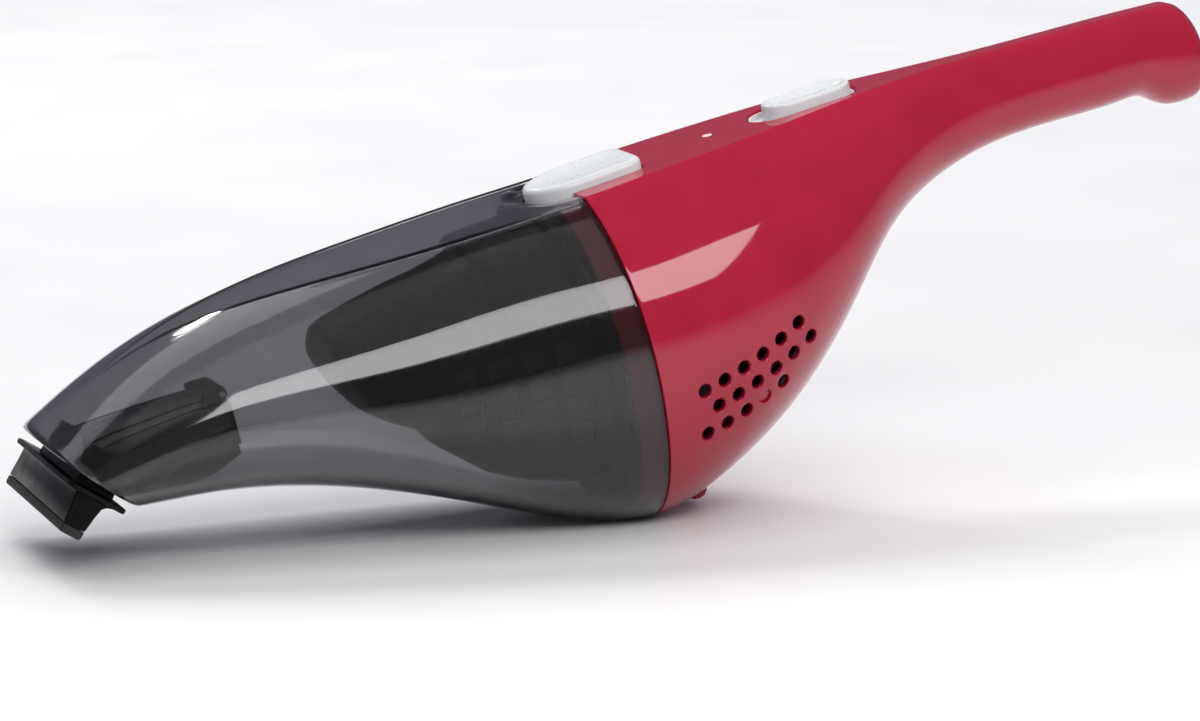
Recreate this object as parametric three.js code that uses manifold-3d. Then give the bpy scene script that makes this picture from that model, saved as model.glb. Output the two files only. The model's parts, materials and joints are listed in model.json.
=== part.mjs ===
// Cordless handheld vacuum, modelled in millimetres with +Z up and +X towards the handle.
// Everything is drawn in the machine's own axis frame and then tipped into its resting attitude:
// x runs along the machine (0 at the seam between dust cup and body, + towards the handle),
// y runs across it (the left hand side is -y) and z runs up from the belly circle's centre.
import * as THREE from 'three';
import Module from 'manifold-3d';
import { mergeVertices } from 'three/addons/utils/BufferGeometryUtils.js';

const wasm = await Module();
wasm.setup();

// ---- driving dimensions ----
const PITCH = THREE.MathUtils.degToRad(14.35); // the handle's rise when it stands on its belly
const GAP = 0.3; // between touching pieces
const CUP_WALL = 2.4;
const BODY_WALL = 2.2;
const FLOOR_TRIM = 0.6; // depth of the flat that the belly stands on

// Outer surface: x, top, bottom, half width, half width of the top facet,
// half width of the bottom facet, height of the widest line.
const STATIONS = [
  [-182, 23.5, 9.0, 34.5, 0.0, 6, 15.5],
  [-160, 35.6, 3.0, 37.0, 0.0, 9, 18.0],
  [-130, 46.4, -1.4, 40.5, 4.5, 12, 19.8],
  [-100, 50.0, -9.2, 45.0, 12.6, 14, 16.0],
  [-60, 50.3, -27.2, 48.6, 20.0, 14, 8.6],
  [-25, 50.3, -45.6, 50.4, 22.5, 14, 5.8],
  [0, 50.3, -53.1, 51.3, 22.0, 14, 5.2],
  [25, 50.9, -47.8, 49.4, 21.2, 13, 5.6],
  [50, 51.3, -35.0, 45.2, 19.4, 11, 9.2],
  [75, 51.7, -14.0, 36.8, 15.8, 8, 18.0],
  [95, 51.8, 5.4, 27.8, 12.0, 5, 28.0],
  [115, 51.3, 16.0, 19.4, 7.4, 3, 33.6],
  [135, 50.5, 20.9, 15.4, 4.0, 2, 35.6],
  [165, 49.1, 21.6, 15.0, 3.0, 2, 35.2],
  [186, 48.1, 21.2, 15.0, 3.0, 2, 34.6],
  [193, 47.7, 20.2, 15.1, 3.0, 2, 33.9],
  [198, 47.4, 16.5, 15.3, 3.0, 2, 32.6],
  [204, 47.0, 14.7, 15.4, 3.0, 2, 31.4],
  [211, 46.5, 15.1, 15.2, 3.0, 2, 31.0],
];
const ARC_STEPS = 6; // facets of each quarter of a section
const HANDLE_END = 209; // where the handle's rounded end begins
const END_LEAN = 0.06; // the handle's end leans back at its top by this slope

// snout mouth: centre and tilt of the plane that the snout is cut on
const MOUTH = { x: -161.6, z: 15.2, tilt: THREE.MathUtils.degToRad(44) };

// inlet duct, from the mouth to the flap
const DUCT_END = -119.5;
const DUCT_WALL = 1.6;
const FLAP_PIN = { x: DUCT_END + 1.2, z: 25.2, radius: 0.9 };
const EAR = { inner: 8.6, outer: 10.6 }; // ears on the duct that hold the flap's pin

// front collar and filter
const COLLAR = { front: -8, back: 8, inset: CUP_WALL + 0.5, wall: 2.0 };
const FILTER_FLANGE = { front: -12.6, back: -9.9, inset: 5.5 };
// filter cage: x, top, bottom, half width
const CAGE = [
  [-83.5, 28.0, 16.0, 19.0],
  [-79.5, 32.0, 10.0, 24.0],
  [-66, 35.0, -3.0, 31.0],
  [-33, 39.0, -31.0, 38.0],
  [-12.9, 40.5, -40.0, 41.0],
];

// motor and fan, on one line
const MOTOR = { z: 2, radius: 14, front: 22.4, back: 58, wall: 1.2 };
const FAN = { radius: 33, front: 10.2, back: 17.8 };
const SHAFT_RADIUS = 1.5;

// four rechargeable cells, side by side above the motor
const CELL = { radius: 7.2, length: 50, front: 23 };
const CELL_PLACES = [[-24, 30], [-8, 30], [8, 30], [24, 30]];

// controls on the top facet
const BUTTON = { front: -10.8, back: 24.5, half: 12.4, low: 47.8, rimFront: 53.0, rimBack: 54.4 };
const SEAT_HEIGHT = 39.2; // where the button's spring stands
const RECESS = { front: 64.2, back: 99.8, half: 8.6, floor: 48.4 };
const KNOB = { front: 69.6, back: 98.4, half: 7.2, low: 49.8, high: 54.4 };
const LIGHT = { x: 50, radius: 1.6 };

// screws run across the body, in from the right
const SCREWS = [[34.3, -20.2], [84, 19], [150, 35.2], [191, 34]];
const BOSS_RADIUS = 3.6;

// charging socket in the handle's end
const SOCKET = { z: 31, radius: 5, front: 203.7, back: 215.6 };

// exhaust holes: first hole's x, height, and how many in each of the three rows
const VENT = { radius: 2.35, pitch: 7.15, rise: 0.004, slope: 0.12 };
const VENT_ROWS = [[13.7, -10.3, 6], [17.8, -16.6, 6], [13.3, -24.6, 5]];

// ---- materials ----
function finish(color, roughness, metalness = 0) {
  return new THREE.MeshStandardMaterial({ color, roughness, metalness });
}
const RED = finish(0xa8263e, 0.25);
const WHITE = finish(0xdee1e3, 0.35);
const BLACK = finish(0x1e1e22, 0.4);
const RUBBER = finish(0x17171a, 0.8);
const STEEL = finish(0xb4b6b8, 0.35, 1);
const BRASS = finish(0xc09a4a, 0.35, 1);
const COPPER = finish(0x9a5a34, 0.5, 0.8);
const GREEN = finish(0x1f5a38, 0.5);
const GREY = finish(0x5a5c60, 0.5);
const CELL_SKIN = finish(0x2f6fa8, 0.4);
const CLOTH = finish(0xd8d6cc, 0.95);
const LAMP = finish(0xe8e4da, 0.2);
const SMOKE = new THREE.MeshStandardMaterial({
  color: 0x3c3d42, roughness: 0.1, transparent: true, opacity: 0.55,
});

// ---- making solids ----
function toSolid(geometry) {
  const bare = geometry.clone();
  bare.deleteAttribute('normal');
  bare.deleteAttribute('uv');
  const merged = mergeVertices(bare, 1e-4);
  return new wasm.Manifold(new wasm.Mesh({
    numProp: 3,
    vertProperties: new Float32Array(merged.attributes.position.array),
    triVerts: new Uint32Array(merged.index.array),
  }));
}

function toMesh(name, solid, material) {
  const data = solid.getMesh();
  const geometry = new THREE.BufferGeometry();
  geometry.setAttribute('position', new THREE.BufferAttribute(data.vertProperties, 3));
  geometry.setIndex(new THREE.BufferAttribute(data.triVerts, 1));
  geometry.computeVertexNormals();
  const mesh = new THREE.Mesh(geometry, material);
  mesh.name = name;
  return mesh;
}

function box(x0, x1, y0, y1, z0, z1) {
  const geometry = new THREE.BoxGeometry(x1 - x0, y1 - y0, z1 - z0);
  geometry.translate((x0 + x1) / 2, (y0 + y1) / 2, (z0 + z1) / 2);
  return toSolid(geometry);
}

// cylinder along x, y or z, between two places on that axis
function rod(axis, from, to, a, b, radius, sides = 16, radiusTo = radius) {
  const geometry = new THREE.CylinderGeometry(radiusTo, radius, to - from, sides);
  geometry.translate(0, (from + to) / 2, 0);
  if (axis === 'x') {
    geometry.rotateZ(-Math.PI / 2);
    geometry.translate(0, a, b);
  } else if (axis === 'y') {
    geometry.translate(a, 0, b);
  } else {
    geometry.rotateX(Math.PI / 2);
    geometry.translate(a, b, 0);
  }
  return toSolid(geometry);
}

function tube(axis, from, to, a, b, outer, inner, sides = 20) {
  return rod(axis, from, to, a, b, outer, sides)
    .subtract(rod(axis, from - 1, to + 1, a, b, inner, sides));
}

// flat plate in the x-y plane from an outline of [x, y] points
function plate(outline, z0, z1) {
  const shape = new THREE.Shape(outline.map(([x, y]) => new THREE.Vector2(x, y)));
  const geometry = new THREE.ExtrudeGeometry(shape, { depth: z1 - z0, bevelEnabled: false });
  geometry.translate(0, 0, z0);
  return toSolid(geometry);
}

// closed skin over a row of rings that all have the same number of points
function loft(rings) {
  const count = rings[0].length;
  const points = rings.flat();
  const faces = [];
  for (let r = 0; r + 1 < rings.length; r += 1) {
    for (let i = 0; i < count; i += 1) {
      const j = (i + 1) % count;
      const a = r * count + i;
      const b = r * count + j;
      faces.push(a, b, b + count, a, b + count, a + count);
    }
  }
  for (const [r, turn] of [[0, -1], [rings.length - 1, 1]]) {
    const centre = new THREE.Vector3();
    rings[r].forEach((p) => centre.add(p));
    points.push(centre.divideScalar(count));
    for (let i = 0; i < count; i += 1) {
      const a = r * count + i;
      const b = r * count + ((i + 1) % count);
      faces.push(points.length - 1, ...(turn > 0 ? [a, b] : [b, a]));
    }
  }
  const geometry = new THREE.BufferGeometry();
  const numbers = points.flatMap((p) => [p.x, p.y, p.z]);
  geometry.setAttribute('position', new THREE.Float32BufferAttribute(numbers, 3));
  geometry.setIndex(faces);
  return toSolid(geometry);
}

// natural cubic spline through one column of a station table
function spline(table, column) {
  const n = table.length;
  const bend = new Array(n).fill(0);
  const carry = new Array(n).fill(0);
  const x = table.map((row) => row[0]);
  const y = table.map((row) => row[column]);
  for (let i = 1; i + 1 < n; i += 1) {
    const ratio = (x[i] - x[i - 1]) / (x[i + 1] - x[i - 1]);
    const pivot = ratio * bend[i - 1] + 2;
    const ahead = (y[i + 1] - y[i]) / (x[i + 1] - x[i]);
    const behind = (y[i] - y[i - 1]) / (x[i] - x[i - 1]);
    bend[i] = (ratio - 1) / pivot;
    carry[i] = ((6 * (ahead - behind)) / (x[i + 1] - x[i - 1]) - ratio * carry[i - 1]) / pivot;
  }
  for (let i = n - 2; i >= 0; i -= 1) bend[i] = bend[i] * bend[i + 1] + carry[i];
  return (at) => {
    const last = x.findIndex((value) => value >= at);
    const hi = last < 0 ? n - 1 : Math.max(1, last);
    const lo = hi - 1;
    const span = x[hi] - x[lo];
    const p = (x[hi] - at) / span;
    const q = (at - x[lo]) / span;
    const cubic = ((p ** 3 - p) * bend[lo] + (q ** 3 - q) * bend[hi]) * span ** 2;
    return p * y[lo] + q * y[hi] + cubic / 6;
  };
}

const [topAt, bottomAt, halfAt, facetAt, keelAt, midAt] = [1, 2, 3, 4, 5, 6]
  .map((column) => spline(STATIONS, column));

// one side of a section, from the top facet's edge round to the bottom facet's edge
function sideOfSection(top, bottom, half, facet, keel, mid) {
  const side = [];
  const up = (top - mid) / Math.sqrt(1 - (facet / half) ** 2);
  const down = (mid - bottom) / Math.sqrt(1 - (keel / half) ** 2);
  const first = Math.asin(facet / half);
  const last = Math.asin(keel / half);
  for (let i = 0; i <= ARC_STEPS; i += 1) {
    const a = THREE.MathUtils.lerp(first, Math.PI / 2, i / ARC_STEPS);
    side.push([half * Math.sin(a), mid + up * Math.cos(a)]);
  }
  for (let i = 1; i <= ARC_STEPS; i += 1) {
    const a = THREE.MathUtils.lerp(Math.PI / 2, last, i / ARC_STEPS);
    side.push([half * Math.sin(a), mid - down * Math.cos(a)]);
  }
  return side;
}

// the machine's cross-section at x, drawn in by an inset; the handle's end leans
function section(x, inset = 0) {
  const half = halfAt(x) - inset;
  const shrink = half / (half + inset);
  const facet = Math.max(0.8, facetAt(x) * shrink);
  const keel = Math.max(0.8, keelAt(x) * shrink);
  const side = sideOfSection(topAt(x) - inset, bottomAt(x) + inset, half, facet, keel, midAt(x));
  const lean = END_LEAN * THREE.MathUtils.smoothstep(x, 180, 205);
  const near = side.map(([y, z]) => new THREE.Vector3(x - lean * (z - 31), -y, z));
  const far = side.map(([y, z]) => new THREE.Vector3(x - lean * (z - 31), y, z));
  return [...near, ...far.reverse()];
}

function shape(xs, inset = 0) {
  return loft(xs.map((x) => section(x, inset)));
}

// ring shrunk towards its middle, for rounded ends
function shrunk(ring, scale, shift) {
  const centre = new THREE.Vector3();
  ring.forEach((p) => centre.add(p));
  centre.divideScalar(ring.length);
  return ring.map((p) => new THREE.Vector3(
    p.x + shift,
    centre.y + (p.y - centre.y) * scale,
    centre.z + (p.z - centre.z) * scale,
  ));
}

// half space beyond the mouth plane, starting a distance out from it
function beyondMouth(out, size = 120) {
  const geometry = new THREE.BoxGeometry(size, 2 * size, 2 * size);
  geometry.translate(-size / 2 - out, 0, 0);
  geometry.rotateY(-MOUTH.tilt);
  geometry.translate(MOUTH.x, 0, MOUTH.z);
  return toSolid(geometry);
}

// ---- dust cup and what is in its snout ----
const CUP_XS = [-182, -171, -160, -149, -138, -127, -116, -104, -92, -78, -64, -50, -36, -22, -10];

function buttonOutline(clear) {
  const outline = [];
  const half = BUTTON.half + clear;
  for (let i = 0; i <= 10; i += 1) {
    const a = Math.PI * (0.5 + i / 10);
    outline.push([BUTTON.front - clear + 15 + 15 * Math.cos(a), half * Math.sin(a)]);
  }
  const back = BUTTON.back + clear;
  outline.push([back - 5, -half], [back, -half * 0.72], [back, half * 0.72], [back - 5, half]);
  return outline;
}

function dustCup() {
  return shape([...CUP_XS, -GAP / 2])
    .subtract(shape([-184, ...CUP_XS.slice(1), 3], CUP_WALL))
    .subtract(beyondMouth(0))
    .subtract(plate(buttonOutline(0.6), 45, 60))
    .subtract(floorTrim());
}

// the floor as a thick slab, in the axis frame
function floorTrim() {
  const geometry = new THREE.BoxGeometry(900, 300, 60);
  geometry.translate(0, 0, FLOOR_Z - 30);
  geometry.rotateY(PITCH);
  return toSolid(geometry);
}

// height of a point of the axis frame, once the machine is tipped
function tippedHeight(x, z) {
  return x * Math.sin(PITCH) + z * Math.cos(PITCH);
}

function lowestBelly() {
  let lowest = 0;
  for (let x = -40; x <= 20; x += 0.5) lowest = Math.min(lowest, tippedHeight(x, bottomAt(x)));
  return lowest;
}
const FLOOR_Z = lowestBelly() + FLOOR_TRIM;

function roundedRect(half, z0, z1, radius, x) {
  const ring = [];
  const corners = [[-half + radius, z1 - radius, 90], [-half + radius, z0 + radius, 180],
    [half - radius, z0 + radius, 270], [half - radius, z1 - radius, 360]];
  for (const [y, z, start] of corners) {
    for (let i = 0; i <= 3; i += 1) {
      const a = THREE.MathUtils.degToRad(start + 30 * i);
      ring.push(new THREE.Vector3(x, y + radius * Math.cos(a), z + radius * Math.sin(a)));
    }
  }
  return ring;
}

function ductShape(wall) {
  return loft([
    roundedRect(31 - wall, 0.5 + wall, 31 - wall, 8, -182),
    roundedRect(26 - wall, 4.5 + wall, 28 - wall, 6, -158),
    roundedRect(20 - wall, 10 + wall, 23 - wall, 3, DUCT_END + (wall ? 1 : 0)),
  ]);
}

function inletDuct() {
  const mouthPlate = shape([-184, -171, -160, -149, -138], CUP_WALL + GAP)
    .subtract(beyondMouth(-0.5))
    .intersect(beyondMouth(-3));
  const ears = flapEar(-EAR.outer, -EAR.inner).add(flapEar(EAR.inner, EAR.outer));
  return ductShape(0)
    .intersect(shape([-184, ...CUP_XS.slice(1, 9)], CUP_WALL + GAP))
    .subtract(beyondMouth(-0.5))
    .add(mouthPlate)
    .add(ears)
    .subtract(ductShape(DUCT_WALL))
    .subtract(rod('y', -24, 24, FLAP_PIN.x, FLAP_PIN.z, FLAP_PIN.radius + 0.2, 12));
}

function flapEar(from, to) {
  const { x, z } = FLAP_PIN;
  return box(DUCT_END - 5, DUCT_END - 0.2, from, to, 20, 27.1)
    .add(box(DUCT_END - 5, x, from, to, 23.6, 27.1))
    .add(rod('y', from, to, x, z, 1.7, 12));
}

function intakeFlap() {
  const neck = EAR.inner - GAP;
  return box(DUCT_END + 0.4, DUCT_END + 1.8, -15.8, 15.8, 10.4, 23.2)
    .add(box(DUCT_END + 0.4, DUCT_END + 1.8, -neck, neck, 23, 24.6))
    .add(rod('y', -neck, neck, FLAP_PIN.x, FLAP_PIN.z, 2, 12))
    .subtract(rod('y', -20, 20, FLAP_PIN.x, FLAP_PIN.z, FLAP_PIN.radius + 0.2, 12));
}

function flapPin() {
  return rod('y', -EAR.outer - 0.6, EAR.outer + 0.6, FLAP_PIN.x, FLAP_PIN.z, FLAP_PIN.radius, 12);
}

// squeegee tool, in its own frame: x = 0 on the mouth plane, -x outwards, z along the plane
function toolRing(x, half, z0, z1) {
  return roundedRect(half, z0, z1, Math.min(1.6, (z1 - z0) / 3), x);
}

function squeegeeNozzle() {
  const flange = loft([toolRing(-5, 33.6, -7.8, 11.4), toolRing(-3.4, 33.6, -7.8, 11.4)]);
  const plug = loft([toolRing(-3.8, 23, -6, 7), toolRing(8, 21.5, -5, 6)]);
  const block = loft([
    toolRing(-14.4, 34.5, 0.6, 7.6),
    toolRing(-6.8, 33, -1, 8.2),
    toolRing(-4.4, 32.5, -4.6, 8.6),
  ]);
  const lipSlot = loft([toolRing(-14.6, 31, 2.2, 6), toolRing(-7, 28, 0.4, 6.4)]);
  const bore = loft([toolRing(-9, 22, 0.6, 6), toolRing(10, 19.5, -3.5, 4.5)]);
  return flange.add(plug).add(block).subtract(lipSlot).subtract(bore);
}

function squeegeeLip() {
  return loft([toolRing(-17.3, 34.5, 0.8, 7.4), toolRing(-14.7, 34.5, 0.6, 7.6)])
    .subtract(box(-20, 0, -31, 31, 2.2, 6));
}

// ---- filter ----
function cageRing(x, top, bottom, half, inset) {
  const mid = (top + bottom) / 2;
  const side = sideOfSection(top - inset, bottom + inset, half - inset, half * 0.3, half * 0.2, mid);
  const near = side.map(([y, z]) => new THREE.Vector3(x, -y, z));
  const far = side.map(([y, z]) => new THREE.Vector3(x, y, z));
  return [...near, ...far.reverse()];
}

function cage(inset, from, shift) {
  const rows = CAGE.slice(from);
  return loft(rows.map(([x, top, bottom, half]) => cageRing(x + shift, top, bottom, half, inset)));
}

function filterScreen() {
  let shell = cage(0, 0, 0).subtract(cage(1.4, 1, 1.2).add(backPlug(1.4)));
  for (const [x, z0, z1] of [[-70, 4, 26], [-56, -8, 28], [-42, -18, 30], [-28, -24, 32]]) {
    shell = shell.subtract(box(x - 4.5, x + 4.5, -60, 60, z0, z1));
  }
  return shell;
}

// closes a cage-shaped hollow through the rear, so that the cage is open at the back
function backPlug(inset) {
  const row = CAGE.at(-1);
  const ends = [-2, 4].map((shift) => cageRing(row[0] + shift, row[1], row[2], row[3], inset));
  return loft(ends);
}

function filterElement() {
  return cage(1.8, 1, 1.8).subtract(cage(4.6, 1, 6)).subtract(backPlug(4.6))
    .subtract(box(CAGE.at(-1)[0] - 0.3, 10, -60, 60, -60, 60));
}

function filterFrame() {
  const { front, back, inset } = FILTER_FLANGE;
  const rim = shape([front, back], inset);
  const mouth = shape([front - 1, back + 1], inset + 9);
  const grip = box(front - 7, front + 0.5, -6, 6, 41.8, 43.6);
  return rim.subtract(mouth).add(grip);
}

function filterSeal() {
  const xs = [FILTER_FLANGE.back + GAP, COLLAR.front - GAP];
  return shape(xs, FILTER_FLANGE.inset + 0.4)
    .subtract(shape([xs[0] - 1, xs[1] + 1], FILTER_FLANGE.inset + 4));
}

// ---- body ----
const BODY_XS = [5, 12, 25, 38, 50, 62, 75, 85, 95, 105, 115, 126, 140, 165, 182, 190, 195, 199, 204];

function bodyOuter() {
  const rings = [GAP / 2, ...BODY_XS, HANDLE_END].map((x) => section(x));
  const end = section(HANDLE_END);
  rings.push(shrunk(end, 0.95, 2.6), shrunk(end, 0.82, 5), shrunk(end, 0.62, 6.6), shrunk(end, 0.34, 7.4));
  return loft(rings);
}

function bodyInner() {
  return shape([-2, GAP / 2, ...BODY_XS, HANDLE_END + 1], BODY_WALL);
}

// outline with round ends, drawn in by an inset
function pill({ front, back, half }, inset) {
  const radius = half - inset;
  const outline = [];
  for (const [x, start] of [[front + half, 0.5], [back - half, -0.5]]) {
    for (let i = 0; i <= 8; i += 1) {
      const a = Math.PI * (start + i / 8);
      outline.push([x + radius * Math.cos(a), radius * Math.sin(a)]);
    }
  }
  return outline;
}

function ventHoles() {
  const holes = [];
  for (const [x0, z0, count] of VENT_ROWS) {
    for (let i = 0; i < count; i += 1) {
      const run = i * VENT.pitch;
      const blind = count === 5 && i === 3;
      if (!blind) holes.push([x0 + run * 0.98, z0 + VENT.slope * run + VENT.rise * run * run]);
    }
  }
  return holes;
}

// how far out from the middle a screw's head sits
function headSeat(x) {
  return Math.min(halfAt(x) - 6, 30);
}

function housing() {
  const footTab = box(14.5, 22.5, -4.5, 4.5, -56.4, -45)
    .intersect(rod('y', -5, 5, 18.6, -50.8, 5.6, 12));
  const padHalf = RECESS.half + 2.5;
  const controlPad = box(RECESS.front - 3, RECESS.back + 3, -padHalf, padHalf, 44, 50);
  let shell = bodyOuter().subtract(bodyInner())
    .add(footTab.subtract(bodyInner()))
    .add(controlPad.intersect(bodyOuter()));
  for (const [x, z] of SCREWS) {
    const bar = rod('y', -60, 60, x, z, BOSS_RADIUS, 12).intersect(bodyOuter());
    shell = shell.add(bar);
  }
  for (const [x, z] of SCREWS) {
    shell = shell.subtract(rod('y', -12, 60, x, z, 1.75, 10))
      .subtract(rod('y', headSeat(x), 60, x, z, 3, 12));
  }
  const middle = box(-90, 90, -30, 30, -90, 90);
  for (const [x, z] of ventHoles()) {
    shell = shell.subtract(rod('y', -60, 60, x, z, VENT.radius, 10).subtract(middle));
  }
  return shell
    .subtract(plate(buttonOutline(0.5), 40, 60))
    .subtract(plate(pill(RECESS, 0), RECESS.floor, 60))
    .subtract(box(KNOB.front + 3, KNOB.back - 6, -2.4, 2.4, 40, 60))
    .subtract(rod('z', 40, 60, LIGHT.x, 0, LIGHT.radius + 0.2, 12))
    .subtract(rod('x', 190, 230, 0, SOCKET.z, SOCKET.radius + 0.25, 16))
    .subtract(floorTrim());
}

function housingHalf(side) {
  return housing().intersect(side < 0
    ? box(-20, 260, -90, -GAP / 2, -90, 90)
    : box(-20, 260, GAP / 2, 90, -90, 90));
}

function frontCollar() {
  const { front, back, inset, wall } = COLLAR;
  const hollow = shape([front - 2, back + 2], inset + wall)
    .subtract(box(front - 5, back + 5, -30, 30, 40, 60));
  const bulkhead = shape([2, 3.6], inset + 0.5).subtract(rod('x', 0, 6, 0, MOTOR.z, 19, 24));
  const spokes = [0, 60, 120].map((turn) => {
    const bar = new THREE.BoxGeometry(1.6, 42, 2);
    bar.rotateX(THREE.MathUtils.degToRad(turn));
    bar.translate(2.8, 0, MOTOR.z);
    return toSolid(bar);
  });
  const springSeat = box(back - 1, 19.4, -6, 6, SEAT_HEIGHT - 1.3, SEAT_HEIGHT)
    .add(box(back - 2, back + 4, -6, 6, SEAT_HEIGHT - 1.3, 41));
  let collar = shape([front, 0, 5, back], inset).subtract(hollow).add(bulkhead).add(springSeat);
  spokes.forEach((spoke) => {
    collar = collar.add(spoke);
  });
  return collar.subtract(box(front - 1, back + 1, -BUTTON.half - 0.8, BUTTON.half + 0.8, 43.6, 60))
    .subtract(box(10, 40, -20, 20, SEAT_HEIGHT, 60))
    .subtract(floorTrim());
}

// ---- fan and motor ----
function fanShroud() {
  const z = MOTOR.z;
  return rod('x', 8.4, 19.6, 0, z, FAN.radius + 2.6, 32)
    .subtract(rod('x', 9.6, 22, 0, z, FAN.radius + 1, 32))
    .subtract(rod('x', 5, 12, 0, z, 14, 24))
    .subtract(box(9.8, 22, -60, 60, z - 60, z - 22));
}

function motorSeal() {
  return tube('x', 3.9, 8.1, 0, MOTOR.z, 25, 20.5, 24);
}

function motorHolder() {
  let holder = tube('x', 20, 22, 0, MOTOR.z, 35, 4.2, 32);
  for (let i = 0; i < 6; i += 1) {
    const a = (i + 0.5) * (Math.PI / 3);
    holder = holder.subtract(rod('x', 18, 24, 25 * Math.cos(a), MOTOR.z + 25 * Math.sin(a), 6, 12));
  }
  return holder;
}

function motorCan() {
  const { z, radius, front, back, wall } = MOTOR;
  return rod('x', front, back, 0, z, radius, 24)
    .subtract(rod('x', front + wall, back + 2, 0, z, radius - wall, 24))
    .subtract(rod('x', front - 2, front + 4, 0, z, 4.2, 16));
}

function motorEndCap() {
  const { z, radius, back } = MOTOR;
  return tube('x', back + GAP, back + 3, 0, z, radius, 4.2, 24)
    .add(tube('x', back - 4, back + 1, 0, z, radius - 1.5, radius - 3.5, 24));
}

function bush(from, to) {
  return tube('x', from, to, 0, MOTOR.z, 3.9, SHAFT_RADIUS + 0.06, 16);
}

function impeller() {
  const { radius, front, back } = FAN;
  const z = MOTOR.z;
  let wheel = tube('x', back - 1.4, back, 0, z, radius, SHAFT_RADIUS + GAP, 32)
    .add(tube('x', front + 1, back, 0, z, 6, SHAFT_RADIUS + GAP, 16));
  for (let i = 0; i < 9; i += 1) {
    const blade = new THREE.BoxGeometry(back - front - 1, 22, 1.2);
    blade.rotateX(THREE.MathUtils.degToRad(28));
    blade.translate((front + back) / 2, 20, 0);
    blade.rotateX((i * 2 * Math.PI) / 9);
    blade.translate(0, 0, z);
    wheel = wheel.add(toSolid(blade));
  }
  return wheel.intersect(rod('x', front, back, 0, z, radius, 32))
    .subtract(rod('x', 0, 30, 0, z, SHAFT_RADIUS + GAP, 16));
}

function armature() {
  const stack = [];
  for (let i = 0; i < 3; i += 1) {
    const pole = new THREE.BoxGeometry(24, 7, 21);
    pole.rotateX((i * Math.PI) / 3);
    pole.translate(40, 0, MOTOR.z);
    stack.push(toSolid(pole));
  }
  const round = rod('x', 26, 60, 0, MOTOR.z, 10.5, 24);
  return stack[0].add(stack[1]).add(stack[2]).intersect(round)
    .add(rod('x', 51, 56, 0, MOTOR.z, 4.5, 16))
    .subtract(rod('x', 10, 70, 0, MOTOR.z, SHAFT_RADIUS + GAP, 16));
}

// ---- battery and electrics ----
function batteryCell([y, z]) {
  const { radius, length, front } = CELL;
  return rod('x', front, front + length - 1.2, y, z, radius, 14)
    .add(rod('x', front + length - 1.5, front + length, y, z, 2.6, 10));
}

function batteryHolder() {
  const { front, length, radius } = CELL;
  const low = CELL_PLACES[0][1] - radius - 2;
  return box(front, front + length, -29, 29, low, low + 1.5)
    .add(box(front + length + GAP, front + length + 1.8, -27, 27, low, low + 14))
    .add(box(front + length - 1, front + length + 1.8, -27, 27, low, low + 1.5));
}

function circuitBoard() {
  return box(79, 112, -8.5, 8.5, 33, 34.6);
}

function switchModule() {
  return box(77, 97, -6, 6, 35.2, 43.4)
    .subtract(box(KNOB.front + 4, KNOB.back - 7, -1.6, 1.6, 39, 50));
}

function switchBezel() {
  const { floor } = RECESS;
  return plate(pill(RECESS, GAP), floor + GAP, 50.6)
    .subtract(plate(pill(RECESS, 1.2), floor + 1.1, 60))
    .subtract(box(KNOB.front + 3, KNOB.back - 6, -2.4, 2.4, 40, 60));
}

// pill-shaped key with three grip ribs and a stem down to the switch
function switchKnob() {
  const { front, back, half, low, high } = KNOB;
  const stem = box(front + 15, front + 20, -1.2, 1.2, 40, low + 0.5);
  let key = plate(pill(KNOB, 0), low, high).add(stem);
  for (const x of [-5, 0, 5]) {
    const rib = (front + back) / 2 + x;
    key = key.add(box(rib - 0.7, rib + 0.7, -half * 0.6, half * 0.6, high - 0.5, high + 0.6));
  }
  return key;
}

// boat-shaped button: a hollowed top, a stem for the spring and a hook for the cup's rim
function releaseButton() {
  const { front, back, low, rimFront, rimBack } = BUTTON;
  const slope = Math.atan2(rimBack - rimFront, back - front);
  const above = new THREE.BoxGeometry(90, 60, 20);
  above.translate(0, 0, 10);
  above.rotateY(-slope);
  above.translate((front + back) / 2, 0, (rimFront + rimBack) / 2);
  const dish = new THREE.SphereGeometry(1, 20, 12);
  dish.scale(15, 10.5, 2.2);
  dish.rotateY(-slope);
  dish.translate(9, 0, 54.6);
  return plate(buttonOutline(0), low, 60)
    .subtract(toSolid(above))
    .subtract(toSolid(dish))
    .add(rod('z', 42, low + 0.5, 14, 0, 2.2, 12))
    .add(box(front + 4, front + 9, -4, 4, 46.2, low + 0.5));
}

function releaseSpring() {
  return tube('z', SEAT_HEIGHT + GAP, BUTTON.low - GAP, 14, 0, 4, 2.7, 16);
}

function chargeLight() {
  return rod('z', 44, 51.4, LIGHT.x, 0, LIGHT.radius, 12)
    .add(rod('z', 42, 45, LIGHT.x, 0, LIGHT.radius + 0.8, 12));
}

function chargeSocket() {
  const { z, radius, front, back } = SOCKET;
  return rod('x', front, back, 0, z, radius, 16)
    .subtract(rod('x', front + 3, back + 2, 0, z, 2.8, 14))
    .add(rod('x', front + 1, back - 2, 0, z, 0.9, 8));
}

function shellScrew([x, z]) {
  const seat = headSeat(x);
  return rod('y', -10, seat + 0.5, x, z, 1.5, 10)
    .add(rod('y', seat + GAP, seat + 2.4, x, z, 2.7, 12))
    .subtract(box(x - 2, x + 2, seat + 1.4, seat + 4, z - 0.4, z + 0.4));
}

// ---- assembly ----
const vacuum = new THREE.Group();
vacuum.rotation.y = -PITCH;

function put(name, solid, material) {
  vacuum.add(toMesh(name, solid, material));
}

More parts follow.
